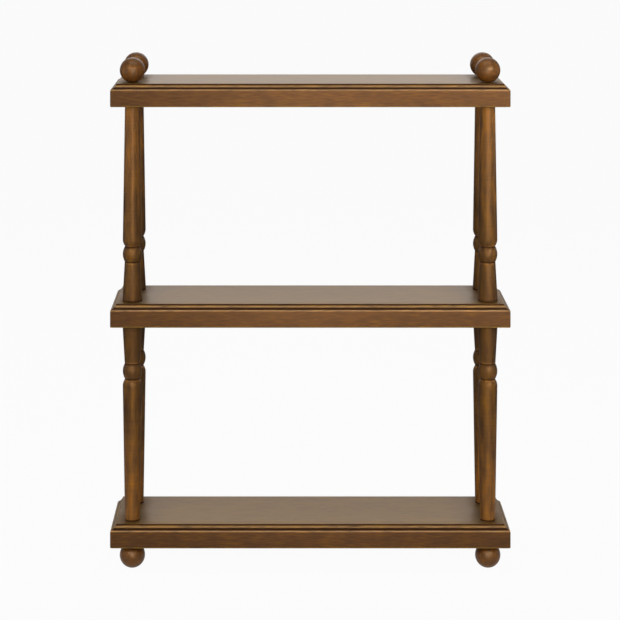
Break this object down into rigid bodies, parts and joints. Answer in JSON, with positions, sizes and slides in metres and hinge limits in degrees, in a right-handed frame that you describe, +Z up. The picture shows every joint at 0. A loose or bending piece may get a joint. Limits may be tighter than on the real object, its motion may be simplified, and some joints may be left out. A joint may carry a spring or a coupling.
{
  "type": "three-tier wall shelf",
  "caption": "Wall shelf of moulded wooden boards held apart by turned spindles, with ball finials on top, ball feet below and a flat back with keyhole slots.",
  "frame": {"origin": "on the ground under the middle of the shelf, halfway between its front and its flat back", "axes": "+Z up, front towards -Y, flat back and wall towards +Y, +X to the right of someone facing the front"},
  "size_m": [0.61, 0.152, 0.7827],
  "materials": {
    "stained_board": "walnut-stained wood under satin lacquer, grain along the board",
    "stained_spindle": "walnut-stained turned wood under satin lacquer, grain upright",
    "stained_ball": "walnut-stained turned wood under satin lacquer",
    "screw_steel": "bright zinc plate"
  },
  "bodies": {
    "root": {"top_board": "stained_board", "middle_board": "stained_board", "bottom_board": "stained_board", "finial_front_left": "stained_ball", "upper_spindle_front_left": "stained_spindle", "lower_spindle_front_left": "stained_spindle", "foot_front_left": "stained_ball", "dowel_screw_top_front_left": "screw_steel", "dowel_screw_middle_front_left": "screw_steel", "dowel_screw_bottom_front_left": "screw_steel", "finial_front_right": "stained_ball", "upper_spindle_front_right": "stained_spindle", "lower_spindle_front_right": "stained_spindle", "foot_front_right": "stained_ball", "dowel_screw_top_front_right": "screw_steel", "dowel_screw_middle_front_right": "screw_steel", "dowel_screw_bottom_front_right": "screw_steel", "finial_back_left": "stained_ball", "upper_spindle_back_left": "stained_spindle", "lower_spindle_back_left": "stained_spindle", "foot_back_left": "stained_ball", "dowel_screw_top_back_left": "screw_steel", "dowel_screw_middle_back_left": "screw_steel", "dowel_screw_bottom_back_left": "screw_steel", "finial_back_right": "stained_ball", "upper_spindle_back_right": "stained_spindle", "lower_spindle_back_right": "stained_spindle", "foot_back_right": "stained_ball", "dowel_screw_top_back_right": "screw_steel", "dowel_screw_middle_back_right": "screw_steel", "dowel_screw_bottom_back_right": "screw_steel"}
  },
  "joints": []
}
